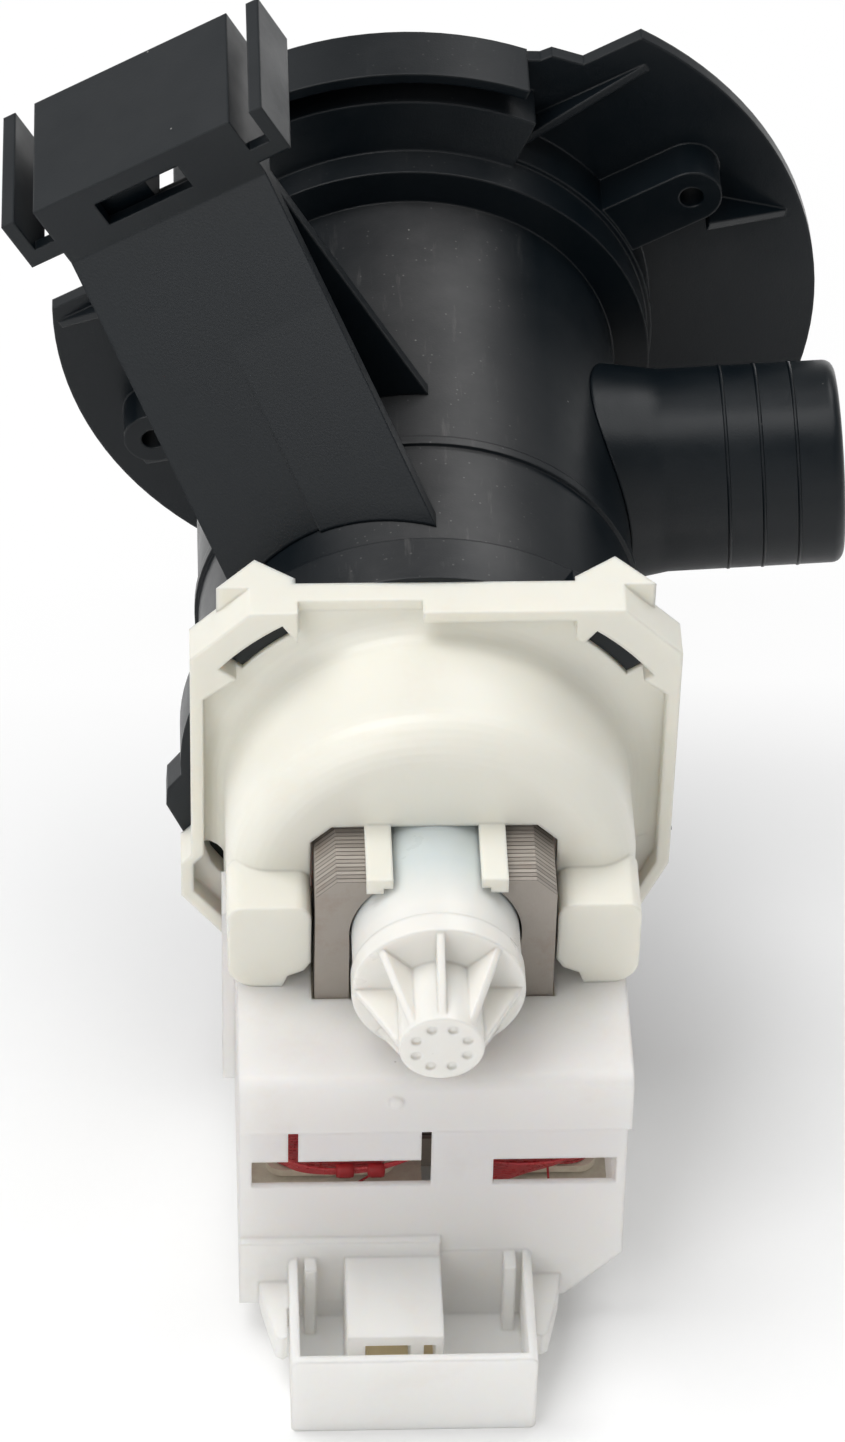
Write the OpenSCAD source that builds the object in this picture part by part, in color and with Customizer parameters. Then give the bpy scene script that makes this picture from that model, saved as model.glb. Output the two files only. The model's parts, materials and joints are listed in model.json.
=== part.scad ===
// Washer drain pump: filter housing, wet-rotor motor and lint filter.
// The pump axis lies along Y. The flange front is at Y = 0 and the motor points to -Y.
// Distances called d are measured backwards from the flange front, along -Y.

/* [Flange] */
// Radius of the flange disc
flange_r = 71; // [68:0.5:75]
// Thickness of the flange disc
flange_t = 2.8; // [2.2:0.2:4]
// Offset of the flange disc along the screw line
flange_shift = 5.5; // [4:0.5:7]
// Fall of the flange disc below the screw line
flange_fall = 3; // [2:0.5:4]
// Height of the flat that cuts the flange disc on the arm side
flange_flat = 32; // [29:0.5:34]
// Radius of the raised cup over the top of the flange
cup_r = 61; // [58:0.5:63]
// Depth of the cup, from the flange front
cup_depth = 12.5; // [11:0.5:15]
// Angle at which the cup starts
cup_from = 69; // [66:1:76]
// Angle at which the cup ends
cup_to = 136; // [126:1:140]
// Wall of the cup
cup_wall = 2; // [1.6:0.1:2.6]
// Clear width of the channel inside the cup's rim
channel_w = 4.2; // [3:0.2:7]
// Height of the thin ribs on the flange
flange_rib_h = 5.4; // [4:0.2:7]

/* [Filter tube] */
// Outer radius of the filter tube
tube_r = 38.5; // [37.5:0.5:40]
// Wall of the tube and of the moulding
tube_wall = 3; // [2.5:0.5:3.5]
// Outer radius of the collar behind the cup
collar_r = 45.2; // [44:0.2:46.4]
// Length of the collar behind the cup
collar_len = 8; // [6:0.5:12]
// Distance of the parting ridge behind the flange front
ridge_d = 86.5; // [80:0.5:92]
// Height of the parting ridge
ridge_h = 0.7; // [0.4:0.1:1]
// Distance of the motor seat behind the flange front
motor_seat = 125; // [122:0.5:132]
// Radius of the ring that the motor sits on
ring_r = 42; // [41:0.5:43]
// Length of that ring
ring_len = 10; // [8:0.5:12]
// Radius of the bayonet lugs on the ring
lug_r = 46.5; // [45:0.5:47.5]
// Thickness of the wall between filter and impeller
partition_t = 3; // [2:0.5:4]
// Distance of that wall behind the flange front
partition_d = 91; // [89.5:0.5:93]
// Radius of the eye in that wall
eye_r = 12; // [10:0.5:15]

/* [Spigots] */
// Outer radius of the inlet spigot
inlet_r = 18.25; // [17:0.25:19.5]
// Distance of the inlet axis behind the flange front
inlet_d = 53.5; // [48:0.5:56]
// Rise of the inlet axis from level, in degrees
inlet_tilt = 3.5; // [0:0.5:6]
// Reach of the inlet from the pump axis
inlet_reach = 77; // [72:0.5:84]
// Length of the inlet that takes the hose
inlet_grip = 29.5; // [25:0.5:31]
// Outer radius of the outlet spigot
outlet_r = 12; // [11:0.5:13]
// Wall of the outlet spigot
outlet_wall = 2.5; // [2:0.25:3]
// Sideways offset of the outlet axis
outlet_side = 20; // [18:0.5:22]
// Drop of the outlet end below the pump axis
outlet_drop = 66; // [60:0.5:68]
// Length of the outlet that takes the hose
outlet_grip = 22; // [18:0.5:24]

/* [Flange screws] */
// Distance between the two screw holes
screw_span = 113.5; // [110:0.5:117]
// Offset of their middle along the tilted line
screw_shift = 4.25; // [3:0.25:5.5]
// Offset of their line from the pump axis
screw_rise = 1.5; // [0:0.5:3]
// Radius of the screw holes
screw_r = 2.2; // [1.8:0.1:2.6]
// Radius of the screw bosses
boss_r = 5.6; // [4.8:0.2:6]
// Height of the bosses above the flange
boss_h = 8.7; // [7:0.1:9.5]

/* [Bracket arm] */
// Turn of the arm and of the screw line about the pump axis
arm_tilt = 30; // [26:1:34]
// Width of the arm and of its head
arm_w = 38; // [34:0.5:42]
// Offset of the arm from the pump axis
arm_shift = 1.7; // [0:0.1:3]
// Wall of the arm
arm_wall = 2.5; // [2:0.25:3]
// Distance of the upright plate behind the flange front
arm_front_d = 74; // [68:0.5:78]
// Distance at which the slanted web meets the tube
arm_base_d = 109; // [103:0.5:111]
// Height of the head's underside above the pump axis
head_base = 89; // [80:0.5:96]
// Height of the head
head_h = 12.5; // [11:0.5:15]
// Length of the head along the pump axis
head_len = 30; // [24:0.5:36]
// Thickness of the side tabs
tab_t = 2.4; // [2:0.1:3]
// Clear groove between head and tab
tab_gap = 3.8; // [3:0.1:5]
// Height of the side tabs
tab_h = 10; // [8:0.5:11]
// Width of the latch slot
slot_w = 16.2; // [12:0.2:20]
// Height of the latch slot
slot_h = 5; // [4:0.2:6]

/* [Motor plate] */
// Width of the motor plate
plate_w = 82.4; // [80:0.2:88]
// Offset of the plate to the right
plate_shift = 0.9; // [0:0.1:1.5]
// Height of its top edge above the pump axis
plate_top = 41; // [40:0.5:44]
// Drop of its lower edge below the pump axis
plate_drop = 42; // [40:0.5:45]
// Cut of its corners
plate_cut = 10; // [8:0.5:12]
// Thickness of the plate
plate_t = 4; // [3:0.5:5]
// Thickness of the rim round the plate
rim_t = 2.2; // [1.8:0.1:3]
// Height of the rim behind the plate
rim_h = 3.6; // [3:0.2:6]
// Radius of the hood
hood_r = 34.5; // [33.5:0.25:35.5]
// Wall of the hood
hood_wall = 3; // [2.5:0.25:3.5]
// Length of the hood behind the plate
hood_len = 26.5; // [25:0.5:29]
// Rounding of the hood's rear edge
hood_round = 7; // [5:0.5:8]
// Length of the feet behind the hood
foot_len = 9; // [7:0.5:10.5]
// Height of the feet's upper ledge above the pump axis
foot_top = 4; // [2:0.5:6]
// Width of the snap clips over the stator
clip_w = 4.4; // [3.6:0.2:5]

/* [Rotor can] */
// Outer radius of the can
can_r = 14; // [13.8:0.1:14.4]
// Wall of the can
can_wall = 1.4; // [1.2:0.1:1.6]
// Distance of the can's end wall behind the stator
can_proud = 13; // [11:0.5:16]
// Radius of the hub on the can's end
hub_r = 7; // [6.6:0.1:7.6]
// Length of the hub behind the end wall
hub_len = 13; // [12:0.5:15]
// Number of ribs round the hub
rib_count = 8; // [6:1:10]
// Thickness of these ribs
rib_t = 1.3; // [1:0.1:1.8]
// Length of the plug that closes the pump chamber
plug_len = 7; // [6:0.5:9]

/* [Stator] */
// Width of the stator
core_w = 40; // [39.5:0.25:41]
// Thickness of the lamination stack
core_t = 20; // [18:0.5:21]
// Number of sheets in the stack
sheet_count = 22; // [12:1:26]
// Width of each leg
leg_w = 5.7; // [5:0.1:6]
// Height of the pole tops above the pump axis
core_top = 12.5; // [12:0.25:13.5]
// Drop of the yoke below the pump axis
core_drop = 57; // [55:0.5:60]
// Height of the yoke
yoke_h = 7; // [6:0.5:8]
// Half width of the gap between the poles
pole_gap = 8.1; // [7.6:0.1:9]
// How far the stack stands behind the hood
core_proud = 11.5; // [10:0.5:13]

/* [Coils] */
// Build of the winding on each side of the former
coil_build = 7; // [6:0.25:7.5]
// Wall of the former
bobbin_wall = 1.2; // [1:0.1:1.5]
// Thickness of the former's flanges
bobbin_flange = 1.5; // [1.2:0.1:2]
// Loops shown in the outer layer
coil_loops = 13; // [8:1:13]
// Radius of the drawn wire
wire_r = 0.7; // [0.5:0.05:0.75]

/* [Coil cover] */
// Width of the cover
cover_w = 66; // [65:0.5:70]
// Length of the cover along the pump axis
cover_len = 53; // [50:0.5:58]
// Height of the cover
cover_h = 50; // [48:0.5:52]
// Wall of the cover
cover_wall = 2; // [1.6:0.1:2.4]
// Height of the window slots
window_h = 5.5; // [4:0.25:7]
// Drop of the window slots below the cover's top
window_drop = 18.2; // [17:0.2:19]
// Gap between the can and the cover's top
cover_gap = 0.5; // [0.45:0.05:1.5]
// Slope of the cover's rear wall, from the receptacle up to the top
cover_draft = 2.9; // [2:0.1:4]
// Height of the cap that stands proud round the cover's top
cap_h = 11.3; // [10:0.1:12]
// Rounding of the top's rear edge
cover_round = 2.5; // [1.5:0.25:3.5]

/* [Connector] */
// Width of the receptacle
socket_w = 41.2; // [38:0.2:44]
// Length of the receptacle behind the cover
socket_len = 24.2; // [20:0.2:27]
// Drop of the receptacle's rim below the cover's top
socket_drop = 38.7; // [37:0.1:40]
// Wall of the receptacle
socket_wall = 1.5; // [1.2:0.1:2]
// Offset of the receptacle to the left
socket_side = 4.1; // [2:0.1:5]
// Width of the tongue
tongue_w = 16.2; // [13:0.2:17]
// Length of the tongue
tongue_len = 19; // [16:0.5:20.5]
// Offset of the tongue to the left
tongue_side = 7.1; // [5:0.1:8]

/* [Rotor] */
// Radius of the shaft
shaft_r = 2.5; // [2:0.1:2.8]
// Radius of the magnet
magnet_r = 12; // [11.6:0.1:12.2]
// Length of the magnet
magnet_len = 36; // [32:0.5:38]
// Outer radius of the bearing bushes
bush_r = 3.9; // [3.6:0.1:4.1]
// Length of the bearing bushes
bush_len = 8; // [6:0.5:9]
// Outer radius of the rubber bearing cups
cup_seat_r = 5.4; // [5.2:0.1:5.6]

/* [Impeller] */
// Radius of the impeller blades
impeller_r = 24; // [20:0.5:28]
// Number of blades
blade_count = 6; // [4:1:8]
// Thickness of the blades
blade_t = 2.2; // [1.6:0.2:3]
// Radius of the impeller hub
impeller_hub_r = 8.5; // [8:0.25:10]
// Angle taken up by the driver and by the driven rib, each
dog_angle = 60; // [45:5:75]

/* [Filter] */
// Length of the filter cap
filter_cap_len = 14; // [12:0.5:18]
// Length of the basket behind the cap
basket_len = 72; // [60:0.5:74]
// Radius of the ring of basket bars
basket_r = 28; // [24:0.5:29]
// Number of basket bars
basket_bars = 10; // [8:1:14]
// Radius of the basket bars
basket_bar_r = 1.7; // [1.4:0.1:2.2]
// Width of the grip across the cap
grip_w = 9; // [7:0.5:12]

/* [Clearances] */
// Radial clearance of running shafts
run_gap = 0.03; // [0.02:0.01:0.06]
// Clearance between fixed pieces that fit into each other
fit_gap = 0.1; // [0.06:0.02:0.2]
// Clearance between pieces that move past each other
move_gap = 0.3; // [0.25:0.05:0.5]
// Section radius of the ring seals
seal_r = 1.3; // [1.1:0.05:1.4]

/* [Hidden] */
$fn = 96;

black = "#1d1d20";
cream = "#ece9d8";
white = "#f1efe9";
cut = 1;

// Stations along the pump axis
tube_bore = tube_r - tube_wall;
collar_end = cup_depth + collar_len;
chamber_d = partition_d + partition_t;
plug_d = motor_seat - plug_len;
plate_rear = motor_seat + plate_t;
rim_rear = plate_rear + rim_h;
hood_rear = plate_rear + hood_len;
core_rear = hood_rear + core_proud;
core_front = core_rear - core_t;
core_mid = (core_front + core_rear) / 2;
can_end = core_rear + can_proud;
hub_end = can_end + hub_len;
cover_top = -(can_r + cover_gap);
cover_low = cover_top - cover_h;
cover_front = plate_rear + 8;
cover_rear = cover_front + cover_len;
flange_mid_z = flange_shift * sin(arm_tilt) - flange_fall * cos(arm_tilt);
rest_z = flange_mid_z - flange_r;

// Rotor stations
can_bore = can_r - can_wall;
holder_r = can_bore - fit_gap;
holder_end = plate_rear + 1;
front_bush_d = plug_d + 2.6;
rear_bush_end = hub_end - 3;
rear_bush_d = rear_bush_end - bush_len - 3;
magnet_d = core_mid - magnet_len / 2;
washer_t = rear_bush_d - magnet_d - magnet_len - 2 * fit_gap;
shaft_tip = chamber_d + 3.5;

// Coil sizes
leg_x = core_w / 2 - leg_w / 2;
former_x = leg_w / 2 + fit_gap + bobbin_wall;
former_d = core_t / 2 + fit_gap + bobbin_wall;
bobbin_top = cover_top - cover_wall - fit_gap;
bobbin_low = -core_drop + yoke_h + fit_gap;
coil_top = bobbin_top - bobbin_flange - fit_gap;
coil_low = bobbin_low + bobbin_flange + fit_gap;
coil_room = coil_top - coil_low - 4 * wire_r;
coil_turns = min(coil_loops, floor(coil_room / (2 * wire_r + 0.45) - 0.5));
coil_pitch = coil_room / (coil_turns + 0.5);
coil_x = former_x + coil_build - wire_r;
coil_d = former_d + coil_build - wire_r;

// Turn a flat shape drawn in X and Z into a solid that grows backwards from distance d
module back(d) {
    translate([0, -d, 0]) rotate([90, 0, 0]) children();
}

// Turn everything about the pump axis into the line of the arm and screws
module tilted() {
    rotate([0, -arm_tilt, 0]) children();
}

// Round disc between two distances
module disc(r, d0, d1) {
    back(d0) cylinder(r = r, h = d1 - d0);
}

// Round sleeve between two distances
module sleeve(ro, ri, d0, d1) {
    difference() {
        disc(ro, d0, d1);
        disc(ri, d0 - cut, d1 + cut);
    }
}

// Box from low to high X, from front to rear distance and from low to high Z
module block(x0, x1, d0, d1, z0, z1) {
    translate([x0, -d1, z0]) cube([x1 - x0, d1 - d0, z1 - z0]);
}

// Points on an arc from angle a0 to a1
function arc_points(cx, cy, r, a0, a1, steps) =
    [for (i = [0:steps]) let (a = a0 + (a1 - a0) * i / steps) [cx + r * cos(a), cy + r * sin(a)]];

// Pie slice from angle a0 to a1
module slice(r, a0, a1) {
    polygon(concat([[0, 0]], arc_points(0, 0, r, a0, a1, 8)));
}

// Rectangle with round corners, centred
module round_rect(w, h, r) {
    square([w - 2 * r, h], center = true);
    square([w, h - 2 * r], center = true);
    for (x = [-1, 1], y = [-1, 1])
        translate([x * (w / 2 - r), y * (h / 2 - r)]) circle(r = r);
}

// Solid of a profile drawn in Y and Z, running across X from x0 to x1
module across(x0, x1) {
    translate([x0, 0, 0]) rotate([90, 0, 90]) linear_extrude(x1 - x0) children();
}

// Pump housing
flange_rib_t = 1.6;
lug_angles = [48, 132, 327];
window_angles = [44, 132];
lug_span = 22;
lug_t = 4;
side_lug_t = 6;
hub_base_r = collar_r + 1;
hub_step_r = cup_r - cup_wall - channel_w;
hub_lead = 4;
boss_end = flange_t + boss_h;
right_screw = screw_shift + screw_span / 2;
left_screw = screw_shift - screw_span / 2;

module ring_part(r, a0, a1) {
    intersection() {
        circle(r = r);
        slice(2 * r, a0, a1);
    }
}

// Corner window of the motor plate, or with a gap the lug tip that stands in it
module corner_window(a, gap) {
    half = 9 - 2 * gap;
    difference() {
        ring_part(lug_r - 0.8 - gap, a - half, a + half);
        circle(r = hood_r + 6 + gap);
    }
}

module flange_shape() {
    circle(r = hub_base_r);
    intersection() {
        translate([flange_shift, -flange_fall]) circle(r = flange_r);
        translate([-2 * flange_r, flange_flat - 3 * flange_r]) square([4 * flange_r, 3 * flange_r]);
    }
    translate([collar_r, flange_flat])
        polygon([[-1.2, -6], [-1.2, 8], [4, 4.8], [6.3, 4.6], [10.6, -0.4], [10.6, -6]]);
}

// Part turn about the pump axis of a profile drawn in radius and distance
module turned(a0, a1) {
    back(0) rotate([0, 0, a0]) rotate_extrude(angle = a1 - a0) children();
}

// Rim that stands over a channel, with the flange as the channel's floor
module cup_rim() {
    inner = cup_r - cup_wall;
    turned(cup_from, cup_to)
        polygon([[tube_r, 0], [cup_r, 0], [cup_r, cup_depth], [inner, cup_depth], [inner, flange_t],
            [tube_r, flange_t]]);
}

module hub_step() {
    rise = 1.9;
    top = cup_depth + rise;
    disc(hub_base_r, 0, cup_depth);
    turned(cup_from - hub_lead, cup_to + hub_lead)
        polygon([[tube_r - 1, 0], [hub_step_r, 0], [hub_step_r, cup_depth], [collar_r - 1, top],
            [tube_r - 1, top]]);
}

// Hollow that cores the hub out from the front
module hub_pocket() {
    turned(cup_from + hub_lead, cup_to - hub_lead)
        translate([hub_base_r + 1, -cut])
            square([hub_step_r - hub_base_r - 1 - tube_wall, cup_depth - tube_wall + cut]);
}

// Frames of the two spigots, with their axes along Z
module inlet_line() {
    translate([0, -inlet_d, 0]) rotate([0, 90 - inlet_tilt, 0]) children();
}

module outlet_line() {
    translate([-outlet_side, -(chamber_d + plug_d) / 2, 0]) rotate([180, 0, 0]) children();
}

// Spigot with a flared root, a plain length for the hose and a round end
module spigot(r, reach, grip, flare, lip) {
    rotate_extrude()
        polygon(concat(
            [[0, 0], [r + flare, 0], [r, reach - lip - grip]],
            arc_points(r - lip, reach - lip, lip, 0, 90, 6),
            [[0, reach]]
        ));
}

module inlet_bore() {
    inlet_line() cylinder(r = inlet_r - tube_wall, h = inlet_reach + cut);
}

module outlet_bore() {
    outlet_line() cylinder(r = outlet_r - outlet_wall, h = outlet_drop + cut);
}

module screw_bosses() {
    tilted() back(flange_t / 2) linear_extrude(boss_end - flange_t / 2) {
        translate([right_screw, screw_rise]) circle(r = boss_r);
        translate([collar_r - 2, screw_rise - boss_r]) square([right_screw - collar_r + 2, 2 * boss_r]);
        translate([left_screw, screw_rise]) circle(r = boss_r);
    }
}

// Thin triangular rib on the flange, tall at its start and running out at its end
module gusset(x0, y0, x1, y1, h) {
    run = norm([x1 - x0, y1 - y0]);
    tilted() back(flange_t) translate([x0, y0, 0]) rotate(atan2(y1 - y0, x1 - x0)) rotate([90, 0, 0])
        linear_extrude(flange_rib_t) polygon([[0, -1], [run, -1], [run, 0.3], [0, h]]);
}

module flange_ribs() {
    rise = 0.69 * tube_r;
    left_rise = 0.71 * tube_r;
    fall = 1.7 * boss_r;
    gusset(tube_r, rise, 0.915 * flange_r, rise, flange_rib_h);
    gusset(right_screw, -boss_r, 1.017 * flange_r, -0.23 * flange_r, boss_h);
    gusset(-0.51 * flange_r, left_rise, -0.8 * flange_r, left_rise, flange_rib_h);
    gusset(left_screw + boss_r, -fall, left_screw - 1.43 * boss_r, -fall, flange_rib_h);
}

module motor_ring() {
    disc(ring_r, motor_seat - ring_len, motor_seat);
    for (a = lug_angles)
        back(motor_seat - lug_t) linear_extrude(lug_t)
            ring_part(lug_r, a - lug_span / 2, a + lug_span / 2);
    for (a = window_angles)
        back(motor_seat - lug_t / 2) linear_extrude(plate_t - 0.4 + lug_t / 2) corner_window(a, move_gap);
    back(motor_seat - side_lug_t) linear_extrude(side_lug_t) translate([-ring_r, 0])
        polygon([[ring_r, -1], [1.6, -1], [-2.3, -6.4], [-2.5, -10], [1.6, -19.4], [ring_r, -19.4]]);
}

module arm_shape() {
    low = tube_bore - 5;
    x0 = arm_shift - arm_w / 2;
    x1 = arm_shift + arm_w / 2;
    slope = (arm_base_d - arm_front_d) / (head_base - low);
    web_t = arm_wall * sqrt(1 + slope * slope);
    proud = 0.8;
    front = -arm_front_d;
    base = -arm_base_d;
    bridge_drop = 7;
    floor_t = 1.5;
    floor_len = 9;
    nib_d = 4;
    head_top = head_base + head_h;
    tab_out = arm_w / 2 + tab_gap + tab_t;
    tilted() {
        across(x0, x1) {
            polygon([[front, head_base], [base, low], [base + web_t, low], [front + web_t, head_base]]);
            translate([front, low]) square([arm_wall, head_base - low]);
            translate([front, head_top - arm_wall]) square([head_len, arm_wall]);
        }
        across(arm_shift, x1)
            polygon([[front - proud, head_base - 2], [base - proud, low], [base + 1, low],
                [front + 1, head_base - 2]]);
        across(arm_shift - arm_wall / 2, arm_shift + arm_wall / 2)
            polygon([[front + 1, head_base], [base + 1, low], [front + 1, low]]);
        for (x = [x0, x1 - arm_wall])
            across(x, x + arm_wall) translate([front, head_base]) square([head_len, head_h]);
        for (x = [arm_shift - tab_out, arm_shift + tab_out - tab_t])
            across(x, x + tab_t) translate([front, head_top - tab_h]) square([head_len, tab_h]);
        across(arm_shift - tab_out, arm_shift + tab_out)
            translate([front, head_top - tab_h]) square([arm_wall, tab_h - bridge_drop]);
        across(x0, x1) {
            translate([front, head_base]) square([arm_wall, head_h]);
            translate([front, head_base - floor_t]) square([floor_len, floor_t]);
        }
        across(x0 + arm_wall + 4, arm_shift - 1)
            translate([front + nib_d, head_base + 1]) square([floor_len, head_h - arm_wall]);
    }
}

module latch_slot() {
    middle = arm_shift - 1.1;
    low = head_base + (head_h - slot_h) / 2;
    tilted() block(middle - slot_w / 2, middle + slot_w / 2,
        arm_front_d - arm_wall - cut, arm_front_d + cut, low, low + slot_h);
}

module pump_housing() color(black) {
    difference() {
        union() {
            tilted() back(0) linear_extrude(flange_t) flange_shape();
            cup_rim();
            hub_step();
            disc(collar_r, 0, collar_end);
            disc(tube_r, 0, motor_seat);
            disc(tube_r + ridge_h, ridge_d - 1, ridge_d + 1);
            motor_ring();
            screw_bosses();
            flange_ribs();
        }
        hub_pocket();
        disc(tube_bore, -cut, partition_d);
        disc(eye_r, -cut, motor_seat);
        disc(tube_bore, chamber_d, motor_seat + cut);
        inlet_bore();
        outlet_bore();
        for (x = [left_screw, right_screw])
            tilted() translate([x, 0, screw_rise]) disc(screw_r, -cut, boss_end + cut);
    }
}

// Arm and spigots, which sit on the tube
module tube_room() {
    disc(tube_r + fit_gap, 0, motor_seat);
    disc(tube_r + ridge_h + fit_gap, ridge_d - 1 - fit_gap, ridge_d + 1 + fit_gap);
    disc(ring_r + fit_gap, motor_seat - ring_len - fit_gap, motor_seat);
}

module bracket_arm() color(black) {
    difference() {
        arm_shape();
        latch_slot();
        tube_room();
    }
}

module inlet_pipe() color(black) {
    difference() {
        inlet_line() spigot(inlet_r, inlet_reach, inlet_grip, 0.39 * inlet_r, 2);
        inlet_bore();
        tube_room();
    }
}

module outlet_pipe() color(black) {
    difference() {
        outlet_line() spigot(outlet_r, outlet_drop, outlet_grip, 0.33 * outlet_r, 1);
        outlet_bore();
        tube_room();
    }
}

// Ring seal round a plug, with its groove
module ring_seal(bore, d) {
    centre = bore - fit_gap - seal_r;
    back(d) rotate_extrude() translate([centre, 0]) circle(r = seal_r, $fn = 32);
}

module seal_groove(bore, d) {
    floor_r = bore - 2 * fit_gap - 2 * seal_r;
    half = seal_r + 0.2;
    sleeve(bore + cut, floor_r, d - half, d + half);
}

module chamber_seal() color("#2a2a2a") ring_seal(tube_bore, motor_seat - plug_len / 2);

// Motor plate with rim, claws, hood, feet and clips
plate_left = -plate_w / 2 + plate_shift;
plate_right = plate_w / 2 + plate_shift;
opening_half = core_w / 2 + 0.6;

module plate_shape(inset) {
    x0 = plate_left + inset;
    x1 = plate_right - inset;
    top = plate_top - inset;
    low = -plate_drop + inset;
    c = plate_cut - 0.6 * inset;
    bulge = 0.18 * plate_cut;
    polygon([[x0, -1.5 * plate_cut], [x0 - bulge, -1.7 * plate_cut],
        [x0 - bulge, -0.583 * plate_drop + 0.4 * inset],
        [x0 + 0.6 * plate_cut, -0.833 * plate_drop + 0.6 * inset],
        [x0 + plate_cut, low], [x1 - 1.1 * plate_cut, low], [x1 - 0.55 * plate_cut, -0.738 * plate_drop],
        [x1, -1.8 * plate_cut], [x1, top - c], [x1 - c, top], [x0 + c, top], [x0, top - c]]);
}

module plate_rim() {
    difference() {
        back(motor_seat) linear_extrude(plate_t + rim_h) difference() {
            plate_shape(0);
            plate_shape(rim_t);
        }
        block(plate_left + 1.3 * plate_cut, -1.5, plate_rear + 0.4, rim_rear + cut,
            plate_top - 3 * rim_t, plate_top + cut);
    }
}

// Corner pad with a pointed claw that reaches forward over the pump ring
module claw(side) {
    x = side < 0 ? plate_left : plate_right;
    near = x - side * 0.45 * plate_cut;
    tip = x - side * 1.1 * plate_cut;
    far = x - side * 1.8 * plate_cut;
    reach = 6;
    difference() {
        union() {
            back(motor_seat) linear_extrude(plate_t + rim_h)
                polygon([[x, plate_top - plate_cut], [x - side * plate_cut, plate_top], [far, plate_top],
                    [far, plate_top - 0.65 * plate_cut], [x, plate_top - 2.1 * plate_cut]]);
            translate([0, -motor_seat, plate_top - plate_cut]) linear_extrude(plate_cut)
                polygon([[near, -1], [tip, reach], [far, 1], [far, -1]]);
        }
        disc(lug_r + move_gap, motor_seat - 2 * reach, motor_seat);
    }
}

function hood_profile(inner) = concat(
    [[inner, plate_rear - 1]],
    [[hood_r + 4.5, plate_rear - 1]],
    arc_points(hood_r + 4.5, plate_rear + 4.5, 4.5, -90, -180, 6),
    arc_points(hood_r - hood_round, hood_rear - hood_round, hood_round, 0, 90, 8),
    [[0, hood_rear]],
    [[0, hood_rear - hood_wall]],
    arc_points(hood_r - hood_round, hood_rear - hood_round, hood_round - hood_wall, 90, 0, 6),
    [[hood_r - hood_wall, plate_rear - 1]]
);

module hood_shell() {
    back(0) rotate_extrude(angle = 180) polygon(hood_profile(hood_r - hood_wall));
    for (side = [-1, 1])
        translate([0, 0, cover_top]) linear_extrude(-cover_top)
            polygon([for (p = hood_profile(hood_r - hood_wall)) [side * p.x, -p.y]]);
}

// Feet with a round heel outside and a stepped notch beside the stator
module feet() {
    heel = 5;
    toe = 2.5;
    for (side = [-1, 1])
        back(hood_rear - hood_wall) linear_extrude(foot_len + hood_wall) mirror([side < 0 ? 1 : 0, 0])
            polygon(concat(
                arc_points(hood_r - heel, cover_top + heel, heel, 270, 360, 6),
                arc_points(hood_r - toe, foot_top - toe, toe, 0, 90, 4),
                arc_points(opening_half + toe, foot_top - toe, toe, 90, 180, 4),
                [for (p = [[0, 5.8], [1.2, 3.8], [3.9, 2.5], [4.8, 0]]) [opening_half, cover_top] + p]
            ));
}

module stator_opening() {
    half = opening_half;
    corner = 3.5;
    top = core_top + 1.5;
    low = cover_top - cut;
    back(plate_rear + cut) linear_extrude(hood_len + foot_len)
        polygon([[-half, low], [half, low], [half, top - corner], [half - corner, top],
            [corner - half, top], [-half, top - corner]]);
}

module clips() {
    lip = 1.6;
    end = core_rear + fit_gap + lip;
    hook_w = clip_w - 1.5;
    for (side = [-1, 1]) {
        x = side > 0 ? pole_gap - 0.8 : -pole_gap + 0.8 - clip_w;
        hook = side > 0 ? pole_gap + 0.7 : -pole_gap - 0.7 - hook_w;
        block(x, x + clip_w, hood_rear - hood_wall, end, core_top + fit_gap, core_top + 2);
        block(hook, hook + hook_w, end - lip, end, core_top - 1, core_top + 1);
    }
}

module plate_windows() {
    back(motor_seat - cut) linear_extrude(plate_t + 2 * cut)
        translate([-hood_r, 0]) polygon([[-3.8, -15], [-0.2, -14.5], [-0.2, -23.5], [-2.4, -20]]);
    for (a = window_angles)
        back(motor_seat - cut) linear_extrude(plate_t + rim_h + 2 * cut) corner_window(a, 0);
}

module motor_plate() color(cream) {
    difference() {
        union() {
            back(motor_seat) linear_extrude(plate_t) plate_shape(0);
            plate_rim();
            claw(-1);
            claw(1);
            difference() {
                hood_shell();
                stator_opening();
            }
            feet();
        }
        disc(can_r + fit_gap, motor_seat - cut, plate_rear + cut);
        plate_windows();
    }
    clips();
}

// Wet rotor can with plug, ribbed end and hub
module can_ribs() {
    for (i = [0:rib_count - 1])
        rotate([0, 360 * i / rib_count, 0]) across(-rib_t / 2, rib_t / 2)
            polygon([[-can_end + 1, can_r - 0.2], [-can_end + 1, hub_r - 1],
                [-hub_end + 1, hub_r - 1], [-hub_end + 1, hub_r], [-can_end, can_r - 0.2]]);
}

module rotor_can() color("#e3ebee") {
    dimple_r = 0.8;
    end_wall = 2;
    difference() {
        union() {
            disc(tube_bore - fit_gap, plug_d, motor_seat);
            disc(can_r, plug_d, can_end);
            disc(can_r + 0.4, can_end - 4, can_end);
            disc(hub_r, can_end - end_wall, hub_end);
            can_ribs();
        }
        seal_groove(tube_bore, motor_seat - plug_len / 2);
        disc(can_bore, plug_d - cut, can_end - end_wall);
        disc(cup_seat_r + fit_gap, can_end - end_wall - cut, rear_bush_end);
        for (i = [0:rib_count - 1])
            rotate([0, 360 * (i + 0.5) / rib_count, 0]) translate([0, 0, 0.65 * hub_r])
                disc(dimple_r, hub_end - dimple_r / 2, hub_end + cut);
    }
}

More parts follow.
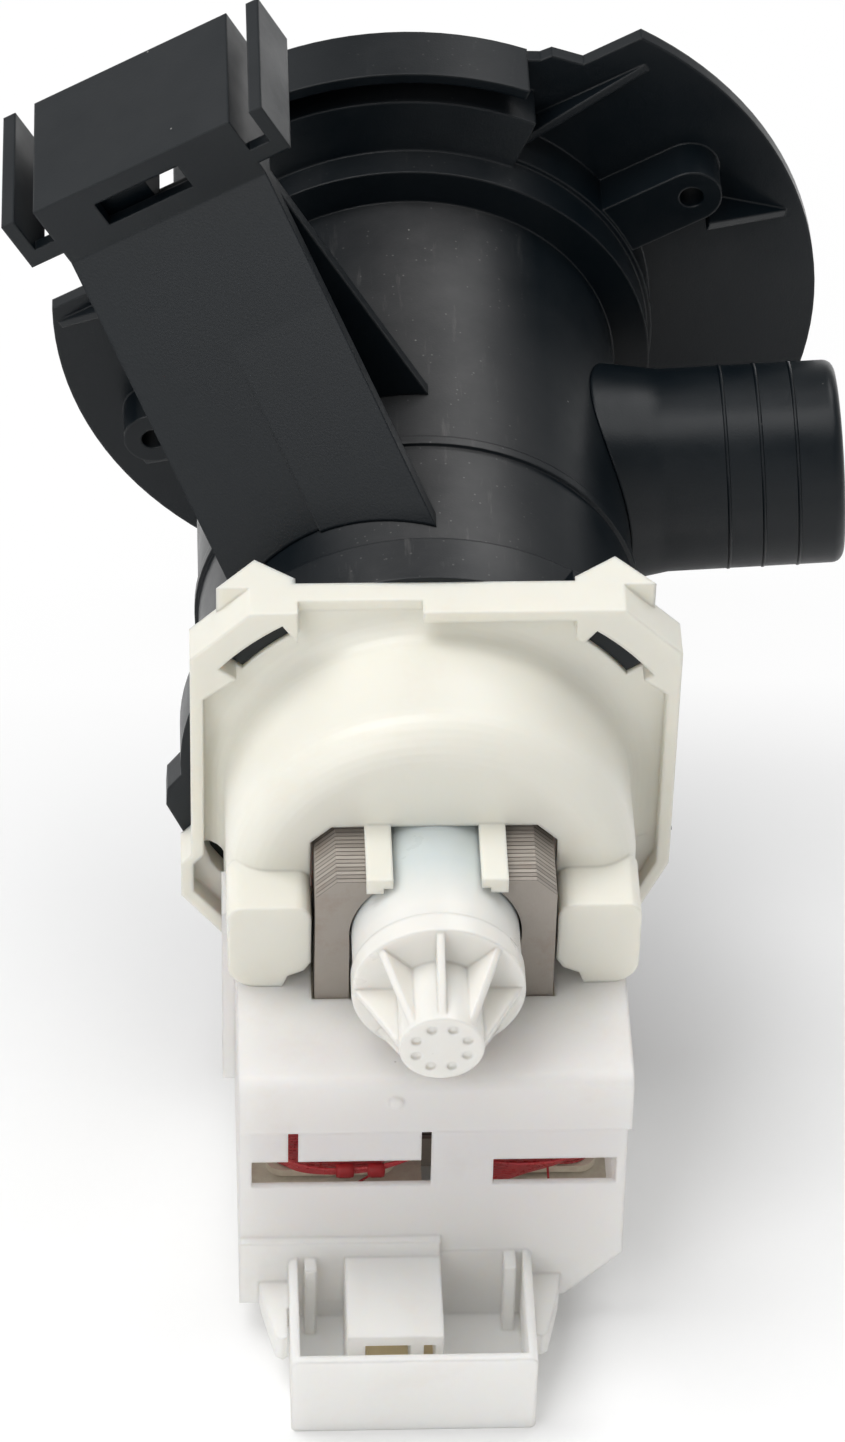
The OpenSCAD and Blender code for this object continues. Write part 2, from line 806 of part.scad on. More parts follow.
// U-shaped lamination stack
module core_shape(inset) {
    half = core_w / 2 - inset;
    top = core_top - inset;
    low = -core_drop + inset;
    corner = 3.5;
    bore = can_r + 0.4;
    inner = core_w / 2 - leg_w;
    difference() {
        polygon([[-half, low], [half, low], [half, top - corner], [half - corner, top],
            [corner - half, top], [-half, top - corner]]);
        circle(r = bore);
        translate([-pole_gap, 0]) square([2 * pole_gap, 2 * core_top]);
        translate([-inner, -core_drop + yoke_h]) square([2 * inner, core_drop - yoke_h]);
    }
}

module stator_core() color("#8b827a") {
    sheet = core_t / sheet_count;
    seam = 0.14;
    groove = 0.25;
    difference() {
        back(core_front) linear_extrude(core_t) core_shape(0);
        for (i = [1:sheet_count - 1])
            back(core_front + i * sheet - seam / 2) linear_extrude(seam) difference() {
                translate([-core_w, -core_drop - cut]) square([2 * core_w, core_drop + core_top + 2 * cut]);
                translate([-core_w / 2 + groove, -core_drop - 2 * cut])
                    square([core_w - 2 * groove, core_drop + core_top - groove + 2 * cut]);
            }
    }
}

// Winding former round one stator leg
module bobbin(side) {
    flange_x = former_x + coil_build;
    flange_d = former_d + coil_build;
    translate([side * leg_x, -core_mid, 0]) difference() {
        union() {
            translate([0, 0, bobbin_low]) linear_extrude(bobbin_top - bobbin_low)
                round_rect(2 * former_x, 2 * former_d, 1.5);
            for (z = [bobbin_low, bobbin_top - bobbin_flange])
                translate([0, 0, z]) linear_extrude(bobbin_flange)
                    round_rect(2 * flange_x, 2 * flange_d, 3);
        }
        translate([0, 0, bobbin_low - cut]) linear_extrude(bobbin_top - bobbin_low + 2 * cut)
            square([leg_w + 2 * fit_gap, core_t + 2 * fit_gap], center = true);
    }
}

module left_bobbin() color("#c9ad8c") bobbin(-1);
module right_bobbin() color("#c9ad8c") bobbin(1);

// Plain core of a winding, under its outer layer
coil_corner = 5;
coil_lift = wire_r + fit_gap;

module coil(side) {
    translate([side * leg_x, -core_mid, coil_low]) linear_extrude(coil_top - coil_low) difference() {
        round_rect(2 * (coil_x - coil_lift), 2 * (coil_d - coil_lift), coil_corner - coil_lift);
        round_rect(2 * (former_x + fit_gap), 2 * (former_d + fit_gap), 1.5);
    }
}

module left_coil() color("#8e1420") coil(-1);
module right_coil() color("#8e1420") coil(1);

// Outer layer of a winding: one unbroken tube that winds round the core, with straight ends
arc_steps = 6;
loop_steps = 4 * arc_steps;
tube_sides = 6;
first_ring = arc_steps - 1;
last_ring = first_ring + coil_turns * loop_steps + 1;

function corner_turn(i) = 90 * floor(i / arc_steps) + 90 * (i % arc_steps) / (arc_steps - 1);
function corner_sign(i) = let (q = floor(i / arc_steps) % 4) [q == 0 || q == 3 ? 1 : -1, q < 2 ? 1 : -1];
function coil_out(i) = [cos(corner_turn(i)), sin(corner_turn(i)), 0];
function coil_z(i) = coil_top - 2 * wire_r - coil_pitch * i / loop_steps;
function coil_point(i) = let (s = corner_sign(i))
    [s.x * (coil_x - coil_corner), s.y * (coil_d - coil_corner), coil_z(i)] + coil_corner * coil_out(i);
function wire_ring(i) = [
    for (k = [0:tube_sides - 1]) let (b = 360 * k / tube_sides)
        coil_point(i) + wire_r * (cos(b) * coil_out(i) + [0, 0, sin(b)])
];

// Triangles between one ring of points and the next
function ring_skin(i) = [
    for (k = [0:tube_sides - 1])
        let (a = i * tube_sides + k, b = i * tube_sides + (k + 1) % tube_sides)
            each [[a, b, a + tube_sides], [b, b + tube_sides, a + tube_sides]]
];

module winding(side) {
    points = [for (i = [first_ring:last_ring]) each wire_ring(i)];
    end = (last_ring - first_ring) * tube_sides;
    skin = [for (i = [0:last_ring - first_ring - 1]) each ring_skin(i)];
    caps = [for (k = [1:tube_sides - 2]) each [[0, k + 1, k], [end, end + k, end + k + 1]]];
    translate([side * leg_x, -core_mid, 0]) polyhedron(points, concat(skin, caps));
}

loop_gaps = [
    for (i = [first_ring:last_ring - loop_steps - 2], k = [-2:2])
        norm(coil_point(i + loop_steps + k) - coil_point(i)) - 2 * wire_r
];
echo(least_gap_of_winding = min(loop_gaps));

module left_winding() color("#8e1420") winding(-1);
module right_winding() color("#8e1420") winding(1);

// Coil cover with windows, hanging tab and connector receptacle
socket_x0 = -socket_w / 2 - socket_side;
socket_x1 = socket_w / 2 - socket_side;
socket_top = cover_top - socket_drop;
socket_end = cover_rear + socket_len;
tongue_x0 = -tongue_side - tongue_w / 2;
tongue_x1 = -tongue_side + tongue_w / 2;
tongue_end = cover_rear + tongue_len;
mouths = [[tongue_x0 + 3, tongue_x1 - 5.6], [tongue_x1 - 3.4, tongue_x1 - 1.4]];
mouth_len = 12;
mouth_z = rest_z + 6;
window_top = cover_top - window_drop;
window_low = window_top - window_h;
cap_step = 0.6;
gate_r = 1.2;

// Outline of the cover seen from behind, with one lower corner cut off
module cover_outline(inset) {
    half = cover_w / 2 - inset;
    right = half - 0.4;
    low = cover_low + inset;
    step = cover_top - cap_h;
    corner = 10.5 + 0.4 * inset;
    back(cover_front - cut) linear_extrude(cover_len + 2 * cut)
        polygon([[-half, cover_top - inset], [right, cover_top - inset], [right, step],
            [right - cap_step, step - cap_step], [right - cap_step, cover_low + corner],
            [half - corner, low], [-half, low]]);
}

// Side view of the cover, with the round top edge, the cap's step and the sloped rear wall
module cover_side(inset) {
    top = cover_top - inset;
    rear = cover_rear - inset;
    edge = rear - cover_draft;
    r = cover_round;
    step = cover_top - cap_h;
    across(-cover_w, cover_w)
        polygon(concat(
            [[-cover_front, top]],
            arc_points(r - edge, top - r, r, 90, 180, 6),
            [[-edge - cap_step, step], [-edge, step - cap_step]],
            [[-rear, socket_top - 2], [-rear, cover_low + inset], [-cover_front, cover_low + inset]]
        ));
}

module cover_shell() {
    half = cover_w / 2;
    difference() {
        intersection() {
            cover_outline(0);
            cover_side(0);
        }
        intersection() {
            cover_outline(cover_wall);
            translate([0, cut, 0]) cover_side(cover_wall);
        }
    }
    block(-half - 2.2, -half + 0.5, cover_front, cover_front + 10, cover_low + 9, cover_top);
    translate([-6.9, 0, cover_top - 4.4])
        disc(gate_r, cover_rear - cover_draft - 1, cover_rear - cover_draft + 0.7);
}

module cover_windows() {
    half = cover_w / 2;
    upright = 1.7;
    tab_top = cover_top - cap_h - cap_step;
    d0 = cover_rear - cover_draft - cover_wall - cut;
    d1 = cover_rear + cut;
    middle = -0.8;
    tab_side = -half + 8.2;
    block(-half + 2.1, middle, d0, d1, window_low, window_top);
    block(tab_side, tab_side + upright, d0, d1, window_top - cut, tab_top);
    block(middle - upright, middle, d0, d1, window_top - cut, tab_top);
    block(9.6, half - 2.7, d0, d1, window_low, window_top);
}

// Hollow inside the rear wall that leaves it thin round the windows
module window_relief() {
    half = cover_w / 2;
    wall = cover_wall / 2;
    intersection() {
        block(-half + 1.4, half - 2, cover_rear - 3 * cover_draft, cover_rear,
            window_low - cover_wall, cover_top - cap_h + cover_wall / 2);
        cover_side(wall);
    }
}

module leg_holes() {
    for (side = [-1, 1])
        block(side * leg_x - leg_w / 2 - 0.5, side * leg_x + leg_w / 2 + 0.5,
            cover_front - cut, core_rear + 0.5, cover_top - cover_wall - cut, cover_top + cut);
}

// Pointed wedge that guides the plug beside the receptacle
module guide_wedge(side) {
    x = side < 0 ? socket_x0 : socket_x1;
    translate([x, -cover_rear, socket_top - 11]) linear_extrude(5)
        polygon([[-side, 0.5], [side * 5.2, 0.5], [side * 4.6, -4], [side * 2.4, -13.2], [side * 1.2, -14],
            [side * 0.4, -13.4], [side * 0.4, -7], [-side, -6]]);
}

module socket() {
    wall = socket_wall;
    floor_z = rest_z + wall;
    d0 = cover_rear - 0.5;
    difference() {
        back(d0) linear_extrude(socket_end - d0)
            translate([(socket_x0 + socket_x1) / 2, (socket_top + rest_z) / 2])
                round_rect(socket_w, socket_top - rest_z, 0.8 * wall);
        block(socket_x0 + wall, socket_x1 - wall, cover_rear, socket_end - wall, floor_z, socket_top + cut);
    }
    difference() {
        block(tongue_x0, tongue_x1, d0, tongue_end, floor_z - 0.2, socket_top);
        for (x = mouths)
            block(x[0], x[1], tongue_end - mouth_len, tongue_end + cut, mouth_z, socket_top - 2);
    }
    for (x = [socket_x0 + wall + 1.2, socket_x1 - wall - 3.2])
        block(x, x + 2, d0, cover_rear + 4, floor_z - 0.2, socket_top);
    block(-cover_w / 2, tongue_x1, cover_rear - 1, cover_rear + 1, cover_low, socket_top + 3.5);
    guide_wedge(-1);
    guide_wedge(1);
}

module yoke_seats() {
    for (x = [-leg_x, leg_x])
        block(x - 2, x + 2, cover_front, core_rear, cover_low + cover_wall - 0.2, -core_drop);
}

module coil_cover() color(white) {
    difference() {
        cover_shell();
        window_relief();
        cover_windows();
        leg_holes();
    }
    socket();
    yoke_seats();
}

// Contact blades in the mouth of the tongue
module terminal(x) {
    blade_t = 0.8;
    block(x[0] + fit_gap, x[1] - fit_gap, tongue_end - mouth_len, tongue_end - 1,
        mouth_z, mouth_z + blade_t);
}

module left_terminal() color("#b9a173") terminal(mouths[0]);
module right_terminal() color("#b9a173") terminal(mouths[1]);

// Sleeved thermal cut-out that lies on the left winding
cutout_r = 2.2;
cutout_len = 13;

module thermal_cutout() color("#b3202c") {
    d = core_mid + coil_d + wire_r + fit_gap + cutout_r;
    z = (coil_top + coil_low) / 2 - 6;
    translate([-leg_x - 3, -d, z]) rotate([0, 90, 0]) {
        cylinder(r = cutout_r, h = cutout_len);
        for (x = [1.5, cutout_len - 3])
            translate([0, 0, x]) cylinder(r = cutout_r, h = 1.5);
    }
}

// Bearings and seal
module bearing_holder() color("#d9d4c4") sleeve(holder_r, cup_seat_r + fit_gap, plug_d, holder_end);

module bearing_cup(d0, d1) {
    sleeve(cup_seat_r, bush_r + fit_gap, d0, d1);
}

module front_bearing_cup() color("#222222") bearing_cup(front_bush_d, front_bush_d + bush_len);
module rear_bearing_cup() color("#222222") bearing_cup(rear_bush_d + 2 * fit_gap, rear_bush_end);

module bearing(d0, d1) {
    sleeve(bush_r, shaft_r + run_gap, d0, d1);
}

module front_bearing() color("#7d6a58") bearing(front_bush_d, front_bush_d + bush_len);
module rear_bearing() color("#7d6a58") bearing(rear_bush_d, rear_bush_end);

module shaft_seal() color("#303030") {
    sleeve(cup_seat_r, shaft_r + run_gap, plug_d, front_bush_d - fit_gap);
}

// Rotor
module rotor_shaft() color("#b8bcc0") disc(shaft_r, shaft_tip, rear_bush_end - 0.5);

module rotor_magnet() color("#3a3836") {
    sleeve(magnet_r, shaft_r + fit_gap / 2, magnet_d, magnet_d + magnet_len);
}

module thrust_washer() color("#c8c2b0") {
    d = magnet_d + magnet_len + fit_gap;
    sleeve(bush_r + 1, shaft_r + fit_gap / 2, d, d + washer_t);
}

dog_d = plug_d - 8;
dog_len = 6;
dog_r = impeller_hub_r - 2;

module drive_dog() color("#e6e0d0") {
    difference() {
        union() {
            disc(shaft_r + 1.3, dog_d, dog_d + dog_len);
            back(dog_d) linear_extrude(dog_len)
                ring_part(dog_r - move_gap, 90 - dog_angle / 2, 90 + dog_angle / 2);
        }
        disc(shaft_r + fit_gap / 2, dog_d - cut, dog_d + dog_len + cut);
    }
}

module impeller() color("#e8e4da") {
    front = chamber_d + 1.5;
    rear = plug_d - 1;
    hub_in = shaft_r + 1.3 + move_gap;
    difference() {
        union() {
            disc(impeller_hub_r, front, rear);
            disc(impeller_r - 7, rear - 4, rear - 2);
            for (i = [0:blade_count - 1])
                rotate([0, 360 * i / blade_count, 0])
                    block(-blade_t / 2, blade_t / 2, front + 2, rear - 2, shaft_r + 2, impeller_r);
        }
        disc(shaft_r + 2 * run_gap, shaft_tip - 1, rear + cut);
        back(dog_d - move_gap) linear_extrude(rear - dog_d + 1 + cut) difference() {
            circle(r = dog_r);
            difference() {
                slice(2 * dog_r, 270 - dog_angle / 2, 270 + dog_angle / 2);
                circle(r = hub_in);
            }
        }
    }
}

// Lint filter
cap_d = 1;
cap_end = cap_d + filter_cap_len;

module filter_seal() color("#2a2a2a") ring_seal(tube_bore, cap_d + filter_cap_len / 2);

module filter_cap() color("#26262a") {
    cap_r = tube_bore - move_gap;
    floor_t = 2.5;
    recess_r = cap_r - 2 * seal_r - 3.5;
    difference() {
        disc(cap_r, cap_d, cap_end);
        seal_groove(tube_bore, cap_d + filter_cap_len / 2);
        difference() {
            disc(recess_r, cap_d - cut, cap_end - floor_t);
            block(-grip_w / 2, grip_w / 2, cap_d, cap_end, -recess_r - cut, recess_r + cut);
        }
    }
}

// Basket of hoops and bars, with the rear half of its length as a piece of its own
hoop_t = 2;
basket_mid = cap_end + basket_len / 2 + hoop_t;
basket_rear = cap_end + basket_len;

module basket_hoop(d) {
    sleeve(basket_r + 2 * basket_bar_r, basket_r - basket_bar_r, d, d + hoop_t);
}

module bar_ring(d0, d1) {
    for (i = [0:basket_bars - 1])
        rotate([0, 360 * i / basket_bars, 0]) translate([0, 0, basket_r + basket_bar_r / 2])
            disc(basket_bar_r, d0, d1);
}

module filter_basket() color("#26262a") {
    basket_hoop(cap_end);
    basket_hoop(basket_mid - hoop_t);
    bar_ring(cap_end, basket_mid);
}

module basket_tail() color("#26262a") {
    basket_hoop(basket_rear - hoop_t);
    bar_ring(basket_mid, basket_rear);
}

pump_housing();
bracket_arm();
inlet_pipe();
outlet_pipe();
chamber_seal();
motor_plate();
rotor_can();
stator_core();
left_bobbin();
right_bobbin();
left_coil();
right_coil();
left_winding();
right_winding();
coil_cover();
left_terminal();
right_terminal();
thermal_cutout();
bearing_holder();
front_bearing_cup();
rear_bearing_cup();
front_bearing();
rear_bearing();
shaft_seal();
rotor_shaft();
rotor_magnet();
thrust_washer();
drive_dog();
impeller();
filter_seal();
filter_cap();
filter_basket();
basket_tail();
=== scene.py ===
import bpy
import json
import math
from mathutils import Matrix, Vector


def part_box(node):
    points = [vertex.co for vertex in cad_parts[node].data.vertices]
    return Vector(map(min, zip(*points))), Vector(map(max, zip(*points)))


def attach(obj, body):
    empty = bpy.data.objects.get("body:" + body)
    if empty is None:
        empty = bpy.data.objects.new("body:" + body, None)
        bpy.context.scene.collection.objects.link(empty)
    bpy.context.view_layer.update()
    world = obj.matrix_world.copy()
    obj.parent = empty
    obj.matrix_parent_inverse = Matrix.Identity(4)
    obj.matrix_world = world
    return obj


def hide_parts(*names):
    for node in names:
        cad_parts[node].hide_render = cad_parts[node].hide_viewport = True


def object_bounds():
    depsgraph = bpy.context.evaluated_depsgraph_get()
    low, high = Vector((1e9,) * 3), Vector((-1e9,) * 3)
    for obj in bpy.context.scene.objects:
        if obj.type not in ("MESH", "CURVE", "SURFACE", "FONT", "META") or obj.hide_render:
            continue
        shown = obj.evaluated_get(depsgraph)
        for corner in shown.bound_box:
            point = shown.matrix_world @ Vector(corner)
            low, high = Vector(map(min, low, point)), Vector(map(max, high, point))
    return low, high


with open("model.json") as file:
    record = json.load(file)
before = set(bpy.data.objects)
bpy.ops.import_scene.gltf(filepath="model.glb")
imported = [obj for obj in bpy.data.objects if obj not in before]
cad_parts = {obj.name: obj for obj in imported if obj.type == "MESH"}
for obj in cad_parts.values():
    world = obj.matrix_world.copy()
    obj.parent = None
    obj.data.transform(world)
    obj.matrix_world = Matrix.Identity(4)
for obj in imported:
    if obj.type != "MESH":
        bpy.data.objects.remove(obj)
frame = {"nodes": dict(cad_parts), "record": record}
cad_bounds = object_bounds()
nodes = frame["nodes"]
scene = bpy.context.scene
MM = 0.001


# Camera, solved from the circles and edges of the photograph
PHOTO_HEIGHT = 1442.0
FOCAL_PIXELS = 5946.5
CAMERA_ANGLES = (-3.33, 43.5, 1.64)
CAMERA_AIM = Vector((0.82, -98.0, -16.55)) * MM
CAMERA_DISTANCE = 1.0495
SENSOR = 36.0


def make_camera():
    azimuth, elevation, roll = (math.radians(a) for a in CAMERA_ANGLES)
    ahead = Vector((
        -math.sin(azimuth) * math.cos(elevation),
        math.cos(azimuth) * math.cos(elevation),
        -math.sin(elevation),
    ))
    side = Vector((math.cos(azimuth), math.sin(azimuth), 0.0))
    up = side.cross(ahead)
    right = math.cos(roll) * side + math.sin(roll) * up
    top = -math.sin(roll) * side + math.cos(roll) * up
    data = bpy.data.cameras.new("camera")
    data.sensor_fit = "VERTICAL"
    data.sensor_height = SENSOR
    data.lens = SENSOR * FOCAL_PIXELS / PHOTO_HEIGHT
    data.clip_start = 0.05
    data.clip_end = 20.0
    cam = bpy.data.objects.new("camera", data)
    place = Matrix((right, top, -ahead)).transposed().to_4x4()
    place.translation = CAMERA_AIM - CAMERA_DISTANCE * ahead
    cam.matrix_world = place
    scene.collection.objects.link(cam)
    scene.camera = cam


# Node helpers
def add(tree, kind, inputs=None, **settings):
    made = tree.nodes.new(kind)
    for name, value in settings.items():
        setattr(made, name, value)
    for name, value in (inputs or {}).items():
        if isinstance(value, bpy.types.NodeSocket):
            tree.links.new(value, made.inputs[name])
        else:
            made.inputs[name].default_value = value
    return made


def coords(tree, scale=(1, 1, 1)):
    where = add(tree, "ShaderNodeTexCoord").outputs["Object"]
    if scale == (1, 1, 1):
        return where
    return add(tree, "ShaderNodeMapping", {"Vector": where, "Scale": scale}).outputs["Vector"]


def axes(tree, vector):
    return add(tree, "ShaderNodeSeparateXYZ", {"Vector": vector}).outputs


def facing(tree):
    return axes(tree, add(tree, "ShaderNodeNewGeometry").outputs["Normal"])


def noise(tree, scale, detail=3.0, rough=0.55, stretch=(1, 1, 1)):
    inputs = {"Vector": coords(tree, stretch), "Scale": scale, "Detail": detail, "Roughness": rough}
    return add(tree, "ShaderNodeTexNoise", inputs).outputs["Fac"]


def span(tree, value, low, high, to_low, to_high):
    inputs = {"Value": value, "From Min": low, "From Max": high, "To Min": to_low, "To Max": to_high}
    return add(tree, "ShaderNodeMapRange", inputs).outputs["Result"]


# Noise spread over a range, since its values keep near the middle
def spread(tree, value, low, high):
    return span(tree, value, 0.3, 0.7, low, high)


def mix(tree, factor, a, b):
    return add(tree, "ShaderNodeMix", {0: factor, 6: a, 7: b}, data_type="RGBA").outputs[2]


def maths(tree, operation, *values):
    return add(tree, "ShaderNodeMath", dict(enumerate(values)), operation=operation).outputs[0]


def times(tree, a, b):
    return maths(tree, "MULTIPLY", a, b)


def rgba(colour, level=1.0):
    return (*(min(1.0, c * level) for c in colour), 1.0)


def start(name):
    made = bpy.data.materials.new(name)
    made.use_nodes = True
    tree = made.node_tree
    return made, tree, tree.nodes["Principled BSDF"]


def feed(tree, shader, **sockets):
    names = {"colour": "Base Color", "rough": "Roughness", "normal": "Normal"}
    for name, value in sockets.items():
        tree.links.new(value, shader.inputs[names[name]])


RELIEF_DEPTH = 0.2 * MM


def relief(tree, height, strength, under=None):
    inputs = {"Height": height, "Strength": strength, "Distance": RELIEF_DEPTH}
    if under is not None:
        inputs["Normal"] = under
    return add(tree, "ShaderNodeBump", inputs).outputs["Normal"]


# Normal of slightly rounded edges
def rounded(tree, radius):
    return add(tree, "ShaderNodeBevel", {"Radius": radius * MM}, samples=6).outputs["Normal"]


def specks(tree, scale, size, share):
    cells = add(tree, "ShaderNodeTexVoronoi", {"Vector": coords(tree), "Scale": scale})
    dots = span(tree, cells.outputs["Distance"], size * 0.6, size, 1.0, 0.0)
    pick = add(tree, "ShaderNodeSeparateColor", {"Color": cells.outputs["Color"]}).outputs["Red"]
    return times(tree, dots, span(tree, pick, 1.0 - share, 1.0 - share + 0.01, 0.0, 1.0))


# Dust with a painted sheen on top of the tube: lighter where the surface faces up, in place of the lamps'
# highlight there, strongest in the middle and weak on the raised bands
def tube_dust_and_sheen(tree):
    where = axes(tree, coords(tree))
    upward = span(tree, facing(tree)["Z"], 0.80, 1.0, 0.0, 1.0)
    from_left = span(tree, where["X"], -0.02, 0.0, 0.3, 1.0)
    to_right = span(tree, where["X"], 0.012, 0.03, 1.0, 0.0)
    tube_only = span(tree, where["Z"], 0.041, 0.043, 1.0, 0.25)
    cloud = spread(tree, noise(tree, 34.0, 6.0, 0.7), 0.55, 1.3)
    return times(tree, times(tree, upward, times(tree, from_left, to_right)), times(tree, tube_only, cloud))


# Black moulded plastic with a fine grain, scuffs, and on top of the tube dust with a painted sheen and lighter
# streaks, part wipe marks and part painted highlight
def black_plastic(name, tone, dust_and_sheen_strength):
    made, tree, shader = start(name)
    colour = mix(tree, noise(tree, 22.0), rgba(tone, 0.8), rgba(tone, 1.25))
    # Dust and painted sheen: the up-facing top of the tube is painted lighter where the lamps' highlight falls
    dust_and_sheen_mask = tube_dust_and_sheen(tree)
    dust_and_sheen_share = times(tree, dust_and_sheen_mask, dust_and_sheen_strength)
    colour = mix(tree, dust_and_sheen_share, colour, (0.060, 0.060, 0.061, 1.0))
    # Lighter streaks along the tube on its up-facing top: part wipe marks, part painted highlight
    streak_and_highlight = span(tree, noise(tree, 60.0, 6.0, 0.7, (9.0, 0.9, 9.0)), 0.60, 0.78, 0.0, 0.6)
    colour = mix(tree, times(tree, streak_and_highlight, dust_and_sheen_mask), colour, (0.16, 0.155, 0.15, 1.0))
    grit = times(tree, specks(tree, 700.0, 0.16, 0.45), dust_and_sheen_share)
    colour = mix(tree, grit, colour, (0.15, 0.15, 0.145, 1.0))
    colour = mix(tree, specks(tree, 260.0, 0.06, 0.035), colour, (0.22, 0.22, 0.21, 1.0))
    rough = spread(tree, noise(tree, 90.0, 5.0, 0.6), 0.28, 0.40)
    grain = relief(tree, noise(tree, 2600.0, 2.0), 0.10, rounded(tree, 0.6))
    feed(tree, shader, colour=colour, rough=rough, normal=grain)
    shader.inputs["Specular IOR Level"].default_value = 0.32
    return made


# Pale moulded plastic with cloudy tint, handling smudges and a few dark specks.
# A front tone colours the end towards the pump, and a thin wall lets light through.
def pale_plastic(name, tone, smudge, amount, low, high, front=None, thin=0.0):
    made, tree, shader = start(name)
    colour = mix(tree, noise(tree, 26.0, 4.0, 0.6), rgba(tone, 0.965), rgba(tone, 1.025))
    if front is not None:
        along = axes(tree, coords(tree))["Y"]
        colour = mix(tree, span(tree, along, -0.173, -0.163, 0.0, 1.0), colour, rgba(front))
    marks = span(tree, noise(tree, 48.0, 6.0, 0.68), 0.55, 0.8, 0.0, amount)
    colour = mix(tree, marks, colour, rgba(smudge))
    colour = mix(tree, specks(tree, 150.0, 0.045, 0.05), colour, (0.25, 0.22, 0.18, 1.0))
    rough = spread(tree, noise(tree, 120.0, 4.0), low, high)
    grain = relief(tree, noise(tree, 1900.0, 2.0), 0.05, rounded(tree, 0.9))
    feed(tree, shader, colour=colour, rough=rough, normal=grain)
    shader.inputs["Subsurface Weight"].default_value = 0.6
    shader.inputs["Subsurface Radius"].default_value = (1.0, 0.85, 0.7)
    shader.inputs["Subsurface Scale"].default_value = 2.0 * MM
    if thin:
        through = add(tree, "ShaderNodeBsdfTranslucent", {"Color": colour, "Normal": grain}).outputs[0]
        both = add(tree, "ShaderNodeMixShader", {0: thin, 1: shader.outputs[0], 2: through}).outputs[0]
        tree.links.new(both, tree.nodes["Material Output"].inputs["Surface"])
    return made


# Stacked sheet edges: each sheet has its own tone, with a little rust and dark joints except on the rear face
def lamination(name, sheets, front, rear):
    made, tree, shader = start(name)
    order = span(tree, axes(tree, coords(tree))["Y"], front, rear, 0.0, float(sheets))
    step = maths(tree, "FLOOR", order)
    tone = add(tree, "ShaderNodeTexWhiteNoise", {"W": step}, noise_dimensions="1D").outputs["Value"]
    colour = mix(tree, tone, (0.29, 0.26, 0.23, 1.0), (0.42, 0.38, 0.34, 1.0))
    place = maths(tree, "FRACT", order)
    sheet = times(tree, span(tree, place, 0.0, 0.14, 0.0, 1.0), span(tree, place, 0.80, 0.94, 1.0, 0.0))
    rear_face = span(tree, facing(tree)["Y"], -0.8, -0.5, 1.0, 0.0)
    colour = mix(tree, maths(tree, "MAXIMUM", rear_face, sheet), (0.085, 0.075, 0.065, 1.0), colour)
    rust = span(tree, noise(tree, 140.0, 5.0, 0.7), 0.52, 0.75, 0.0, 0.45)
    colour = mix(tree, rust, colour, (0.25, 0.17, 0.12, 1.0))
    rough = spread(tree, noise(tree, 300.0, 4.0), 0.38, 0.6)
    grain = relief(tree, noise(tree, 900.0, 4.0, 0.6, (1.0, 0.25, 1.0)), 0.25)
    feed(tree, shader, colour=colour, rough=rough, normal=grain)
    shader.inputs["Metallic"].default_value = 0.25
    return made


# Turned or drawn metal with fine lines along its length
def metal(name, tone, low, high, stretch):
    made, tree, shader = start(name)
    lines = noise(tree, 500.0, 5.0, 0.65, stretch)
    colour = mix(tree, lines, rgba(tone, 0.85), rgba(tone, 1.08))
    feed(tree, shader, colour=colour, rough=spread(tree, lines, low, high), normal=relief(tree, lines, 0.08))
    shader.inputs["Metallic"].default_value = 1.0
    return made


# Lacquered copper wire
def enamel(name, deep, bright):
    made, tree, shader = start(name)
    colour = mix(tree, noise(tree, 260.0, 4.0), rgba(deep), rgba(bright))
    rough = spread(tree, noise(tree, 700.0, 3.0), 0.22, 0.36)
    feed(tree, shader, colour=colour, rough=rough, normal=relief(tree, noise(tree, 1500.0), 0.06))
    shader.inputs["Coat Weight"].default_value = 0.5
    shader.inputs["Coat Roughness"].default_value = 0.15
    return made


# Dull material with an even grain
def matt(name, tone, low, high, scale, strength):
    made, tree, shader = start(name)
    grain = noise(tree, scale, 5.0, 0.65)
    colour = mix(tree, grain, rgba(tone, 0.75), rgba(tone, 1.2))
    rough = spread(tree, grain, low, high)
    feed(tree, shader, colour=colour, rough=rough, normal=relief(tree, grain, strength))
    return made


